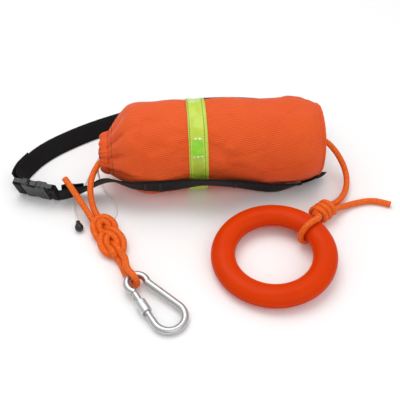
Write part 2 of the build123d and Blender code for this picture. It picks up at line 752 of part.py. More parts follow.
def main():
    save("bag_body", bag_body())
    save("mouth_hem", mouth_hem())
    save("reflective_band", reflective_band())
    save("base_panel", base_panel())
    save("base_binding", base_binding())
    save("base_grommet", base_grommet())
    save("grommet_washer", grommet_washer())
    save("base_foam_disc", base_foam_disc())
    save("base_stopper_knot", base_stopper_knot())
    save("stuffed_rope", stuffed_rope())
    save("mouth_rope", cord("mouth_rope", MOUTH_ROPE, ROPE_D))
    save("mouth_rope_tail", cord("mouth_rope_tail", MOUTH_TAIL, ROPE_D))
    save("base_rope", cord("base_rope", BASE_ROPE, ROPE_D))
    save("ring_rope_tail", cord("ring_rope_tail", RING_TAIL, ROPE_D))
    save("ring_loop", cord("ring_loop", RING_LOOP, ROPE_D))
    save("drawcord_left", cord("drawcord_left", DRAWCORD_LEFT, DRAWCORD_D))
    save("drawcord_right", cord("drawcord_right", DRAWCORD_RIGHT, DRAWCORD_D))
    save("figure_eight_knot", figure_eight_knot())
    save("ring_knot", ring_knot())
    save("belt_rear_strand", strap(REAR_BELT))
    save("belt_front_strap", strap(FRONT_BELT))
    save("belt_left_strand", strap(LEFT_BELT))
    save("belt_tail", strap(BELT_TAIL))
    save("belt_bar_tacks", belt_bar_tacks())
    save("buckle_female", BUCKLE_PLACE * buckle_female())
    save("buckle_male", BUCKLE_PLACE * buckle_male())
    save("buckle_prong_upper", BUCKLE_PLACE * buckle_prong(1))
    save("buckle_prong_lower", BUCKLE_PLACE * buckle_prong(-1))
    save("belt_ladder_loop", BUCKLE_PLACE * webbing_loop(-2.2, 9.4, 4.6))
    save("belt_male_loop", belt_male_loop())
    save("drawcord_in_hem", drawcord_in_hem())
    save("cord_end_left", cord_end(*LEFT_END))
    save("cord_end_right", cord_end(*RIGHT_END))
    save("cord_lock_body", cord_lock_body())
    save("cord_lock_plunger", cord_lock_plunger())
    save("cord_lock_spring", cord_lock_spring())
    save("carabiner_body", CARABINER_PLACE * carabiner_body())
    save("carabiner_gate", CARABINER_PLACE * carabiner_gate())
    save("gate_hinge_pin", CARABINER_PLACE * gate_hinge_pin())
    save("screw_sleeve", CARABINER_PLACE * screw_sleeve())
    save("gate_plunger", CARABINER_PLACE * gate_plunger())
    save("gate_spring", CARABINER_PLACE * gate_spring())
    save("float_ring", float_ring())
    save("carabiner_bight", cord("carabiner_bight", CARABINER_BIGHT, ROPE_D))


main()
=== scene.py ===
import math

import bmesh
import bpy
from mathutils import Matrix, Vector, noise


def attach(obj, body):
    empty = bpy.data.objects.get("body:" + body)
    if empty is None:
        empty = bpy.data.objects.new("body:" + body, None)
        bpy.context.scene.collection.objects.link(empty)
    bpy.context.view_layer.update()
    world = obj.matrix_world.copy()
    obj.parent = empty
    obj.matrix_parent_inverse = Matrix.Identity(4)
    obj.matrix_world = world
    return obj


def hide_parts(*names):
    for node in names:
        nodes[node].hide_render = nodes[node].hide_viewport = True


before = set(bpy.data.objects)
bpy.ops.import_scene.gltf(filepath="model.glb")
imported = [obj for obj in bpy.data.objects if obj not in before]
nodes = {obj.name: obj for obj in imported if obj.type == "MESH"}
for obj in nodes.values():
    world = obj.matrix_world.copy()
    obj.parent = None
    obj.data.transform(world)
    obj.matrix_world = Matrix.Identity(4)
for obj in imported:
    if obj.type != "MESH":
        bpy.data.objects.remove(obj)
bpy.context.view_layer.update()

MM = 0.001
scene = bpy.context.scene
scene.view_settings.view_transform = "Standard"

# ---------------------------------------------------------------- sizes, in millimetres
AXIS_Z = 53.0              # height of the bag's axis
HEM_X = -126.0             # where the hem starts
BAG_END = 137.0
GIRTH = 350.0              # the cloth's way round the bag, as its UVs count it
AROUND = 168               # points round the bag
BAND_X, BAND_WIDTH = -17.5, 23.0
HEM_STITCH_X = -121.0
ROPE_D = 7.6
ROPE_REST = 3.9            # lowest height of the rope's middle
DRAWCORD_D = 2.8
WEB_WIDTH, WEB_THICK = 25.0, 1.5
RING_R = 57.8              # from the float ring's middle to the middle of its tube
RING_ACROSS, RING_UP = 14.0, 11.2
RING_LIFT = 4.2            # how far its middle lies above where it would lie flat
RING_GAP = 0.15            # between its lowest side and the floor
RING_AT = Vector((61.6, -155.2, RING_UP + RING_GAP + RING_LIFT))
RING_RAISED_SIDE = math.radians(36.0)

# ---------------------------------------------------------------- camera
EYE_AT = Vector((-54.8, -616.9, 559.7)) * MM
LOOK_AT = Vector((-14.9, -46.7, 0.0)) * MM

cam_data = bpy.data.cameras.new("camera")
cam_data.angle = math.radians(35.2)
camera = bpy.data.objects.new("camera", cam_data)
camera.location = EYE_AT
camera.rotation_euler = (LOOK_AT - EYE_AT).to_track_quat("-Z", "Y").to_euler()
scene.collection.objects.link(camera)
scene.camera = camera


# ---------------------------------------------------------------- materials
class Shader:
    """A Principled material and short ways to add nodes to it."""

    def __init__(self, name, color, rough, metal=0.0):
        self.mat = bpy.data.materials.new(name)
        self.mat.use_nodes = True
        self.tree = self.mat.node_tree
        self.main = self.tree.nodes["Principled BSDF"]
        self.main.inputs["Base Color"].default_value = (*color, 1)
        self.main.inputs["Roughness"].default_value = rough
        self.main.inputs["Metallic"].default_value = metal
        self.last_bump = None

    def node(self, kind, values=None, **settings):
        made = self.tree.nodes.new(kind)
        for key, value in settings.items():
            setattr(made, key, value)
        for key, value in (values or {}).items():
            if isinstance(value, bpy.types.NodeSocket):
                self.tree.links.new(value, made.inputs[key])
            else:
                made.inputs[key].default_value = value
        return made

    def coords(self, which="Object"):
        return self.node("ShaderNodeTexCoord").outputs[which]

    def math(self, operation, a, b=0.0):
        made = self.node("ShaderNodeMath", {0: a, 1: b}, operation=operation)
        return made.outputs[0]

    def split(self, vector):
        return self.node("ShaderNodeSeparateXYZ", {0: vector}).outputs

    def noise(self, scale, detail=2.0):
        values = {"Scale": scale, "Detail": detail, "Vector": self.coords()}
        return self.node("ShaderNodeTexNoise", values).outputs["Fac"]

    def ramp(self, fac, low, high):
        """0 below low, 1 above high."""
        made = self.node("ShaderNodeMapRange", {0: fac, 1: low, 2: high})
        return made.outputs[0]

    def mix(self, fac, a, b):
        made = self.node("ShaderNodeMix", data_type="RGBA")
        for key, value in ((0, fac), (6, a), (7, b)):
            if isinstance(value, bpy.types.NodeSocket):
                self.tree.links.new(value, made.inputs[key])
            else:
                made.inputs[key].default_value = value if key == 0 else (*value, 1)
        return made.outputs[2]

    def color(self, socket):
        self.tree.links.new(socket, self.main.inputs["Base Color"])

    def rough(self, socket):
        self.tree.links.new(socket, self.main.inputs["Roughness"])

    def bump(self, height, strength, distance):
        values = {"Height": height, "Strength": strength, "Distance": distance}
        if self.last_bump is not None:
            values["Normal"] = self.last_bump
        self.last_bump = self.node("ShaderNodeBump", values).outputs[0]
        self.tree.links.new(self.last_bump, self.main.inputs["Normal"])


def orange_cloth(name):
    """Coated oxford cloth, the weave's raised threads painted lighter as a highlight: UV is millimetres
    along the bag and around it.
    """
    s = Shader(name, (0.78, 0.13, 0.03), 0.62)
    u, v, _ = s.split(s.coords("UV"))
    row = s.math("SUBTRACT", v, s.math("MULTIPLY", u, 0.27))
    twill = s.math("SINE", s.math("MULTIPLY", row, 2 * math.pi / 2.6))
    slant = s.math("ADD", u, s.math("MULTIPLY", v, 0.55))
    cross = s.math("SINE", s.math("MULTIPLY", slant, 2 * math.pi / 2.2))
    weave = s.math("MULTIPLY", twill, s.math("ADD", cross, 1.1))
    patches = s.noise(16.0, 3.0)
    base = s.mix(s.ramp(patches, 0.3, 0.75), (0.67, 0.038, 0.003), (0.74, 0.066, 0.006))
    # painted highlight: where the weave relief is high, the colour is mixed toward a lighter orange
    base = s.mix(s.ramp(weave, -1.6, 3.4), base, (0.92, 0.20, 0.040))
    s.color(base)
    s.bump(weave, 0.35, 0.00016)
    s.bump(s.noise(90.0, 3.0), 0.25, 0.0008)
    s.main.inputs["Sheen Weight"].default_value = 0.06
    s.main.inputs["Sheen Roughness"].default_value = 0.5
    s.main.inputs["Specular IOR Level"].default_value = 0.16
    return s


def stitched(s, at, dash=2.6, width=0.45, dark=(0.05, 0.02, 0.02)):
    """Dark dashed stitching where UV's u is at the given millimetres."""
    u, v, _ = s.split(s.coords("UV"))
    lines = None
    for place in at:
        line = s.math("LESS_THAN", s.math("ABSOLUTE", s.math("SUBTRACT", u, place)), width)
        lines = line if lines is None else s.math("MAXIMUM", lines, line)
    part = s.math("FRACT", s.math("DIVIDE", v, dash))
    lines = s.math("MULTIPLY", lines, s.math("LESS_THAN", part, 0.68))
    link = s.main.inputs["Base Color"].links
    s.color(s.mix(lines, link[0].from_socket, dark))
    return s


def webbing():
    """Black woven tape, its raised ribs painted lighter and the hollows between them darker as light
    and shade: UV is millimetres along it and round it.
    """
    s = Shader("black_webbing", (0.012, 0.012, 0.013), 0.62)
    u, v, _ = s.split(s.coords("UV"))
    ribs = s.math("SINE", s.math("MULTIPLY", u, 2 * math.pi / 1.5))
    rows = s.math("SINE", s.math("MULTIPLY", v, 2 * math.pi / 3.1))
    relief = s.math("ADD", ribs, s.math("MULTIPLY", rows, 0.45))
    # painted light and shade: the colour follows the relief, darker in its hollows and lighter on its
    # ribs
    s.color(s.mix(s.ramp(relief, -1.4, 1.4), (0.003, 0.003, 0.003), (0.010, 0.010, 0.010)))
    s.bump(relief, 0.7, 0.00022)
    s.main.inputs["Specular IOR Level"].default_value = 0.16
    return s.mat


def braid(name, dark, light):
    """A braided cord, whose strands show as a fine grain."""
    s = Shader(name, light, 0.6)
    fine = s.noise(900.0, 1.0)
    s.color(s.mix(s.ramp(fine, 0.35, 0.65), dark, light))
    s.bump(fine, 0.5, 0.0003)
    s.main.inputs["Specular IOR Level"].default_value = 0.3
    return s.mat


def ring_axis():
    """The float ring lies on the rope's loop, so its axis leans a little."""
    lean = RING_LIFT / RING_R
    return (
        -lean * math.cos(RING_RAISED_SIDE),
        -lean * math.sin(RING_RAISED_SIDE),
        math.sqrt(1 - lean**2),
    )


def ring_plastic():
    """Moulded plastic with a parting line round its middle, its groove painted darker as shade."""
    s = Shader("orange_float", (0.68, 0.034, 0.001), 0.34)
    soft = s.noise(30.0, 2.0)
    shell = s.mix(soft, (0.64, 0.034, 0.0), (0.72, 0.050, 0.0))
    offset = s.node("ShaderNodeVectorMath", {0: s.coords(), 1: RING_AT * MM}, operation="SUBTRACT")
    height = {0: offset.outputs[0], 1: ring_axis()}
    level = s.node("ShaderNodeVectorMath", height, operation="DOT_PRODUCT").outputs["Value"]
    line = s.ramp(s.math("ABSOLUTE", level), 0.0009, 0.0003)
    # painted shade: the parting line's groove is mixed toward a dark orange
    s.color(s.mix(s.math("MULTIPLY", line, 0.6), shell, (0.34, 0.012, 0.001)))
    s.bump(line, 0.5, -0.0004)
    s.bump(s.noise(120.0, 2.0), 0.1, 0.0006)
    s.main.inputs["Coat Weight"].default_value = 0.05
    s.main.inputs["Coat Roughness"].default_value = 0.12
    s.main.inputs["Specular IOR Level"].default_value = 0.05
    return s.mat


def zinc():
    s = Shader("zinc_steel", (0.56, 0.56, 0.56), 0.15, 1.0)
    s.rough(s.ramp(s.noise(160.0, 3.0), -0.6, 2.6))
    s.bump(s.noise(220.0, 2.0), 0.08, 0.0004)
    return s.mat


def satin():
    s = Shader("satin_steel", (0.66, 0.67, 0.68), 0.42, 1.0)
    s.bump(s.noise(700.0, 1.0), 0.3, 0.0002)
    return s.mat


def plastic(name, color, rough, speckle):
    s = Shader(name, color, rough)
    dots = s.ramp(s.noise(520.0, 1.0), 0.66, 0.72)
    s.color(s.mix(dots, color, speckle))
    s.bump(s.noise(420.0, 2.0), 0.3, 0.0003)
    return s.mat


def plain(name, color, rough, metal=0.0, grain=300.0):
    s = Shader(name, color, rough, metal)
    s.bump(s.noise(grain, 2.0), 0.2, 0.0003)
    return s.mat


# Cells of the reflective tape by millimetres round the bag: start, end, colour; and the welds between
CELLS = [
    (40.0, 76.0, (0.52, 0.74, 0.22)),
    (132.0, 152.0, (0.27, 0.66, 0.02)),
    (152.0, 230.0, (0.42, 0.56, 0.04)),
    (290.0, 312.0, (0.27, 0.66, 0.02)),
]
WELDS = (76.0, 130.6, 152.0, 230.0, 290.0, 312.0)


def reflective():
    """Lime tape: UV is millimetres across the tape, and round the bag from its back over the top."""
    s = Shader("reflective_tape", (0.55, 0.85, 0.03), 0.35)
    u, v, _ = s.split(s.coords("UV"))
    blotch = s.ramp(s.noise(60.0, 3.0), 0.35, 0.65)
    middle = s.mix(blotch, (0.46, 0.63, 0.040), (0.57, 0.70, 0.05))
    for start, end, tone in CELLS:
        inside = s.math("MULTIPLY", s.math("GREATER_THAN", v, start), s.math("LESS_THAN", v, end))
        middle = s.mix(inside, middle, tone)
    specks = s.ramp(s.noise(380.0, 1.0), 0.52, 0.60)
    for place in WELDS:
        near_weld = s.math("LESS_THAN", s.math("ABSOLUTE", s.math("SUBTRACT", v, place)), 1.1)
        middle = s.mix(s.math("MULTIPLY", near_weld, specks), middle, (0.92, 0.92, 0.80))
    side = s.math("GREATER_THAN", s.math("ABSOLUTE", u), 6.6)
    s.color(s.mix(side, middle, (0.52, 0.68, 0.06)))
    cells = s.math("SINE", s.math("MULTIPLY", s.math("ADD", u, v), 2 * math.pi / 2.4))
    s.bump(s.math("MULTIPLY", cells, s.math("SUBTRACT", 1.0, side)), 0.2, 0.0002)
    return stitched(s, (-8.6, 8.6), 2.8, 0.42, (0.045, 0.06, 0.02)).mat


CLOTH = stitched(orange_cloth("orange_cloth"), (HEM_STITCH_X,), 3.0, 0.35).mat
HEM = orange_cloth("hem_cloth").mat
TAPE = reflective()
WEBBING = webbing()
ROPE = braid("orange_rope", (0.66, 0.070, 0.002), (0.93, 0.18, 0.008))
DRAWCORD = braid("white_drawcord", (0.82, 0.81, 0.80), (0.96, 0.96, 0.95))
RING = ring_plastic()
ZINC = zinc()
SATIN = satin()
BUCKLE = plastic("black_plastic", (0.028, 0.031, 0.033), 0.42, (0.16, 0.14, 0.12))
BELL = plain("bell_plastic", (0.012, 0.012, 0.013), 0.38)
THREAD = plain("black_thread", (0.010, 0.010, 0.011), 0.8)
SPRING = plain("spring_steel", (0.45, 0.45, 0.46), 0.3, 1.0)
BRASS = plain("brass_grommet", (0.66, 0.48, 0.20), 0.3, 1.0)
FOAM = plain("foam", (0.80, 0.79, 0.74), 0.85, 0.0, 900.0)

NODE_FINISH = {
    "base_panel": HEM,
    "base_grommet": BRASS,
    "grommet_washer": BRASS,
    "base_foam_disc": FOAM,
    "base_stopper_knot": ROPE,
    "drawcord_in_hem": DRAWCORD,
    "cord_end_left": BELL,
    "cord_end_right": BELL,
    "cord_lock_body": BELL,
    "cord_lock_plunger": BELL,
    "cord_lock_spring": SPRING,
    "belt_bar_tacks": THREAD,
    "belt_ladder_loop": WEBBING,
    "belt_male_loop": WEBBING,
    "buckle_female": BUCKLE,
    "buckle_male": BUCKLE,
    "buckle_prong_upper": BUCKLE,
    "buckle_prong_lower": BUCKLE,
    "carabiner_body": ZINC,
    "carabiner_gate": ZINC,
    "gate_hinge_pin": ZINC,
    "screw_sleeve": SATIN,
    "gate_plunger": SATIN,
    "gate_spring": SPRING,
    "float_ring": RING,
}
for name, material in NODE_FINISH.items():
    nodes[name].data.materials.clear()
    nodes[name].data.materials.append(material)

# ---------------------------------------------------------------- cords
MOUTH_ROPE = [
    (-104, -4, 48),
    (-117, -6, 46),
    (-128, -8.8, 43.6),
    (-136.5, -11.2, 41.4),
    (-141.5, -16.5, 38.8),
    (-145.5, -26, 37),
    (-148.3, -37.5, 35.2),
    (-149.6, -48.5, 31.2),
    (-149, -58, 24.5),
    (-147, -67, 17),
]
MOUTH_TAIL = [
    (-156, -68.5, 16.5),
    (-165, -56, 23.4),
    (-173.5, -44.2, 31.4),
    (-181, -33.5, 35.6),
]
BASE_ROPE = [
    (119, 0, 53),
    (139, 0.3, 53),
    (150, -1.2, 49.5),
    (160, -4.5, 40),
    (169, -10.5, 28.5),
    (175, -20, 17.5),
    (176, -33, 10),
    (171, -49, 7),
    (162, -63, 7),
    (151, -74, 9.5),
    (138.6, -81.2, 14.0),
]
RING_TAIL = [
    (144.8, -88.2, 13.0),
    (154, -81.8, 9.5),
    (167, -74.5, 5.5),
    (181, -69.5, 4.1),
    (195, -67, 4),
    (208, -68.5, 4.1),
    (222, -75.5, 4),
]
DRAWCORD_LEFT = [
    (-131, 17.0, 34.6),
    (-132.6, 14.5, 43.5),
    (-134.9, 9.6, 51.2),
    (-136.0, 5.0, 51.8),
    (-136.0, 4.6, 46),
    (-136.0, 4.6, 38.2),
    (-138.8, 4.8, 35.0),
    (-143.4, 2.2, 31.0),
    (-148, -3, 24),
    (-154.5, -8, 14),
    (-160.5, -13, 4.8),
    (-165.5, -19.5, 1.6),
    (-170.5, -29, 1.5),
    (-173.5, -42, 1.55),
    (-173, -56, 1.5),
    (-169, -68, 2.2),
    (-166.0, -78.5, 3.9),
]
DRAWCORD_RIGHT = [
    (-131, 8.5, 64.5),
    (-132.2, 6.4, 60),
    (-133.0, 4.8, 54.5),
    (-133.0, 4.6, 48),
    (-133.0, 4.6, 38.2),
    (-134.4, 2.4, 34.6),
    (-139.6, -1.2, 32.6),
    (-143.2, -4.5, 27.5),
    (-143.3, -8.5, 19),
    (-141.2, -13, 10.5),
    (-137.8, -19.5, 4.0),
    (-133.5, -27.5, 1.7),
    (-127.5, -37.5, 1.5),
    (-122, -49, 1.55),
    (-119.8, -60, 1.6),
    (-121.3, -70, 2.2),
    (-126.0, -79, 3.9),
]


def spline_length(obj):
    """Length of a curve's own line."""
    bevel, obj.data.bevel_depth = obj.data.bevel_depth, 0
    line = bpy.data.meshes.new_from_object(obj)
    obj.data.bevel_depth = bevel
    points = [v.co for v in line.vertices]
    return sum((b - a).length for a, b in zip(points, points[1:]))


def cord_curve(name, points, diameter, material):
    """A cord as one NURBS spline with these control points, in millimetres."""
    curve = bpy.data.curves.new(name, "CURVE")
    curve.dimensions = "3D"
    curve.bevel_depth = diameter / 2 * MM
    curve.bevel_resolution = 5
    curve.use_fill_caps = True
    spline = curve.splines.new("NURBS")
    spline.points.add(len(points) - 1)
    for place, point in zip(spline.points, points):
        place.co = (*(c * MM for c in point), 1)
    spline.order_u = 3
    spline.use_endpoint_u = True
    spline.resolution_u = 10
    curve.materials.append(material)
    obj = bpy.data.objects.new(name, curve)
    scene.collection.objects.link(obj)
    return obj


# The figure eight knot, tied in doubled rope: across, down towards the hook, and height
KNOT_CENTRE = Vector((-127, -109, 0))
KNOT_DOWN = Vector((0.337, -0.941, 0))
KNOT_ACROSS = Vector((0.941, 0.337, 0))
KNOT_PAIR = [
    (-6.7, -33, 11.0),
    (-4.5, -24, 5.0),
    (-1.5, -14, 5.5),
    (3.5, -5, 11.5),
    (9.0, 5, 12.0),
    (10.0, 16, 9.0),
    (5.0, 24.5, 5.0),
    (-2.0, 25.5, 4.3),
    (-9.0, 19, 7.0),
    (-10.0, 9, 11.5),
    (-5.5, 0, 12.4),
    (1.5, -6, 5.0),
    (8.5, -11, 5.5),
    (9.0, -20, 9.0),
    (3.5, -27, 12.4),
    (-4.5, -27, 12.6),
    (-10.5, -19, 11.8),
    (-10.0, -8, 7.0),
    (-6.5, 2, 4.3),
    (-2.5, 12, 5.5),
    (-0.5, 22, 11.8),
    (0.0, 32, 10.5),
]


def knot_strand(side):
    """One of the two strands of the doubled knot, from the bag's end to the hook's end."""
    strand = []
    for i, (across, down, height) in enumerate(KNOT_PAIR):
        before = KNOT_PAIR[max(i - 1, 0)]
        after = KNOT_PAIR[min(i + 1, len(KNOT_PAIR) - 1)]
        way = Vector((after[0] - before[0], after[1] - before[1])).normalized()
        a = across + side * way.y * ROPE_D / 2
        d = down - side * way.x * ROPE_D / 2
        place = KNOT_CENTRE + KNOT_ACROSS * a + KNOT_DOWN * d
        strand.append((place.x, place.y, height))
    return strand


HOOK_TURN = math.radians(-51.8)
HOOK_START = Vector((-103.2, -171.4, 12.81))     # on the wire of the hook's small end
HOOK_DIP = 0.098           # sine of the angle at which the hook lies down from its small end


def hook_bight():
    """Over the small end's wire, down through the eye and back under the wire."""
    level = math.sqrt(1 - HOOK_DIP**2)
    along = Vector((math.cos(HOOK_TURN) * level, math.sin(HOOK_TURN) * level, -HOOK_DIP))
    up = Vector((math.cos(HOOK_TURN) * HOOK_DIP, math.sin(HOOK_TURN) * HOOK_DIP, level))
    points = [(-110.6, -142.6, 13.6), (-106.3, -151.2, 18.0)]
    for a, h in ((-3.2, 8.6), (10.5, 8.4), (15.4, 3.5), (15.4, -3.5), (10.5, -8.4), (-4.0, -8.4)):
        place = HOOK_START + along * a + up * h
        points.append((place.x, place.y, max(place.z, ROPE_REST)))
    return points + [(-111.2, -150.6, 4.2), (-117.4, -139.6, 5.6)]


LONG_ROPE = MOUTH_ROPE + knot_strand(1) + hook_bight() + knot_strand(-1)[::-1] + MOUTH_TAIL

# The knot above the ring: the rope comes back from the ring and wraps round itself
WRAP_CENTRE = Vector((130.5, -92.0, 13.8))
WRAP_AXIS = Vector((math.cos(math.radians(37)), math.sin(math.radians(37)), 0))
WRAP_SIDE = Vector((WRAP_AXIS.y, -WRAP_AXIS.x, 0))


WRAP_TURNS, WRAP_RADIUS, WRAP_PITCH = 2.87, 9.6, 7.9
WRAP_START = -56.0         # degrees
WRAP_POINTS = 23


def wraps():
    """The helix of the rope's turns round itself."""
    points = []
    for i in range(WRAP_POINTS + 1):
        angle = math.radians(WRAP_START - 360 * WRAP_TURNS * i / WRAP_POINTS)
        along = WRAP_TURNS * WRAP_PITCH * (i / WRAP_POINTS - 0.5)
        place = WRAP_CENTRE + WRAP_AXIS * along
        place = place + WRAP_SIDE * (WRAP_RADIUS * math.cos(angle))
        points.append(tuple(place + Vector((0, 0, WRAP_RADIUS * math.sin(angle)))))
    return points


LOOP_ANGLE = math.radians(31.0)
LOOP_GAP = 0.6             # between the ring's skin and the rope
LOOP_STEP = 45             # degrees from one corner of the turn to the next


def ring_loop():
    """Corners of the rope's turn round the ring's tube."""
    corner = 1 / math.cos(math.radians(LOOP_STEP / 2))
    across = (RING_ACROSS + LOOP_GAP + ROPE_D / 2) * corner
    rise = (RING_UP + LOOP_GAP + ROPE_D / 2) * corner
    points = [(118.6, -98.4, 19.5)]
    for angle in range(58, 284, LOOP_STEP):
        out = RING_R + across * math.cos(math.radians(angle))
        x = RING_AT.x + out * math.cos(LOOP_ANGLE)
        y = RING_AT.y + out * math.sin(LOOP_ANGLE)
        z = RING_AT.z + RING_LIFT + rise * math.sin(math.radians(angle))
        points.append((x, y, max(z, ROPE_REST)))
    return points + [(121.6, -103.0, 8.6)]


CORE = [(133.0, -88.8, 14.5), (126.0, -94.6, 15.5)]
SHORT_ROPE = BASE_ROPE + CORE + ring_loop() + wraps() + RING_TAIL

rope_from_mouth = cord_curve("rope_from_mouth", LONG_ROPE, ROPE_D, ROPE)
rope_from_base = cord_curve("rope_from_base", SHORT_ROPE, ROPE_D, ROPE)
drawcord_l = cord_curve("drawcord_left_end", DRAWCORD_LEFT, DRAWCORD_D, DRAWCORD)
drawcord_r = cord_curve("drawcord_right_end", DRAWCORD_RIGHT, DRAWCORD_D, DRAWCORD)

ROOT = "bag_and_rope"
for piece, stands_for in (
    (rope_from_mouth, ("mouth_rope", "mouth_rope_tail", "figure_eight_knot", "carabiner_bight")),
    (rope_from_base, ("base_rope", "ring_rope_tail", "ring_knot", "ring_loop")),
    (drawcord_l, ("drawcord_left",)),
    (drawcord_r, ("drawcord_right",)),
):
    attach(piece, ROOT)
    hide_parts(*stands_for)


def declare(piece):
    """Measure a cord's length, rounded to three places; the value is not kept."""
    round(spline_length(piece), 3)


declare(rope_from_mouth)
declare(rope_from_base)
declare(drawcord_l)
declare(drawcord_r)

# ---------------------------------------------------------------- bag
BAG_OUTLINE = [
    (HEM_X, 28.0),
    (-119.0, 35.4),
    (-112.0, 42.6),
    (-105.0, 48.6),
    (-98.0, 52.4),
    (-86.0, 54.6),
    (-50.0, 55.6),
    (0.0, 56.0),
    (60.0, 56.0),
    (105.0, 54.6),
    (120.0, 52.2),
    (130.0, 48.8),
    (BAG_END, 44.5),
]
MOUTH_DROP = 8.0
DROP_START = -101.0
REST_HEIGHT, REST_TURN = 0.5, 4.0      # the flat underside, and how soon the cloth turns up from it


def smooth_outline(x):
    """The bag's radius at x: its outline, rounded between the stations."""
    stations = BAG_OUTLINE
    for i in range(len(stations) - 1):
        (x0, r0), (x1, r1) = stations[i], stations[i + 1]
        if x <= x1:
            t = max(0.0, (x - x0) / (x1 - x0))
            before = stations[max(i - 1, 0)]
            after = stations[min(i + 2, len(stations) - 1)]
            m0 = (r1 - before[1]) / (x1 - before[0]) * (x1 - x0)
            m1 = (after[1] - r0) / (after[0] - x0) * (x1 - x0)
            a, b = 2 * t**3 - 3 * t**2 + 1, t**3 - 2 * t**2 + t
            c, d = -2 * t**3 + 3 * t**2, t**3 - t**2
            return a * r0 + b * m0 + c * r1 + d * m1
    return stations[-1][1]


def share_of(value, none_at, full_at):
    """0 up to one place, 1 from another on."""
    return max(0.0, min(1.0, (value - none_at) / (full_at - none_at)))


def axis_height(x):
    """Height of the bag's middle: the drawn mouth sags."""
    return AXIS_Z - MOUTH_DROP * share_of(x, DROP_START, HEM_X) ** 1.5


def folds(angle, count, seed):
    """Gathers round the mouth, of uneven width: rounded ridges and narrow valleys, from -1 to 0."""
    sway = 0.35 * math.sin(2 * angle + seed) + 0.22 * math.sin(5 * angle + 2 * seed)
    return abs(math.sin(0.5 * count * angle + sway * count / 5)) ** 0.7 - 1.0


def broad_folds(angle):
    return folds(angle, 9, 1.0)


def fine_folds(angle):
    return folds(angle, 21, 0.3)


def near(x, centre, width):
    """1 at the centre, fading to 0 over about twice the width."""
    return math.exp(-(((x - centre) / width) ** 2))


BELT_ANGLE = math.radians(203)         # where the belt presses on the cloth


def slack(x, angle):
    """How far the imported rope, the creases and the belt move the cloth out from its outline."""
    fade = share_of(x, -124, -100) * share_of(x, 137, 118) * (1 - near(x, BAND_X, 13))
    ring = Vector((math.cos(angle), math.sin(angle), 0))
    broad = noise.noise(Vector((x * 0.019, ring.x * 1.3, ring.y * 1.3 + 4)))
    lumps = noise.noise(Vector((x * 0.045, ring.x * 2.6 + 3, ring.y * 2.6)))
    line = noise.noise(Vector((x * 0.016 + angle * 0.9, angle * 0.8 - x * 0.012, 7.3)))
    crease = max(0.0, 1 - abs(line) / 0.07) ** 1.5
    low_front = near(angle, math.radians(200), math.radians(52))
    rise = 2.2 * broad + 1.1 * lumps - 1.5 * crease * (0.25 + low_front * share_of(x, 10, 60))
    pressed = near(angle, BELT_ANGLE, math.radians(15))
    rise = min(rise, 1.6) * (1 - pressed) - 0.9 * pressed
    rise += 5.0 * near(x, -78, 32) * near(angle, math.radians(236), math.radians(22))
    rise -= 2.0 * near(x, 22, 40) * near(angle, math.radians(230), math.radians(26))
    return fade * rise


def bag_point(x, angle):
    """A point of the cloth before it settles: x along the bag, angle round its axis from +Y."""
    r = smooth_outline(x) + slack(x, angle)
    turned = angle + 0.004 * (x - HEM_X)
    depth = 2.4 * share_of(x, -84.0, HEM_X) + 7.0 * near(x, -113, 10.5)
    r += depth * broad_folds(turned)
    r += (1.4 * share_of(x, -112.0, HEM_X) + 0.9 * near(x, -116, 7)) * fine_folds(angle)
    r += share_of(x, 108.0, BAG_END) ** 2 * 0.9 * folds(angle, 19, 2.0)
    y = r * math.cos(angle)
    z = axis_height(x) + r * math.sin(angle)
    turn_up = REST_HEIGHT + REST_TURN
    if z < turn_up:
        z = REST_HEIGHT + REST_TURN * math.exp((z - turn_up) / REST_TURN)
    return Vector((x, y, z))


def grid_mesh(name, rows, uvs, material):
    """A tube through closed rows of points; uvs gives each row's (u, v), with one more to close it."""
    verts = [p for row in rows for p in row]
    n = len(rows[0])
    faces, corners = [], []
    for i in range(len(rows) - 1):
        for j in range(n):
            k = (j + 1) % n
            faces.append((i * n + j, i * n + k, (i + 1) * n + k, (i + 1) * n + j))
            corners += [uvs[i][j], uvs[i][j + 1], uvs[i + 1][j + 1], uvs[i + 1][j]]
    mesh = bpy.data.meshes.new(name)
    mesh.from_pydata([Vector(p) * MM for p in verts], [], faces)
    layer = mesh.uv_layers.new(name="UVMap")
    for loop, uv in zip(layer.data, corners):
        loop.uv = uv
    for face in mesh.polygons:
        face.use_smooth = True
    mesh.materials.append(material)
    obj = bpy.data.objects.new(name, mesh)
    scene.collection.objects.link(obj)
    return obj


def turn(j):
    """The angle of point j of a row round the bag."""
    return 2 * math.pi * j / AROUND


def round_uvs(u):
    """The UVs of one row round the bag, in millimetres."""
    return [(u, GIRTH * j / AROUND) for j in range(AROUND + 1)]


BAG_STEPS = 150
BAG_XS = [HEM_X + (BAG_END - HEM_X) * i / BAG_STEPS for i in range(BAG_STEPS + 1)]
bag_rows = [[bag_point(x, turn(j)) for j in range(AROUND)] for x in BAG_XS]
bag = grid_mesh("bag_cloth", bag_rows, [round_uvs(x) for x in BAG_XS], CLOTH)


SETTLE_FRAMES = 20
SETTLE_LIMIT = 1.3         # millimetres that the settling may move the cloth in or out
LYING_HEIGHT = 8.0         # cloth below this lies pressed on the floor and doesn't settle


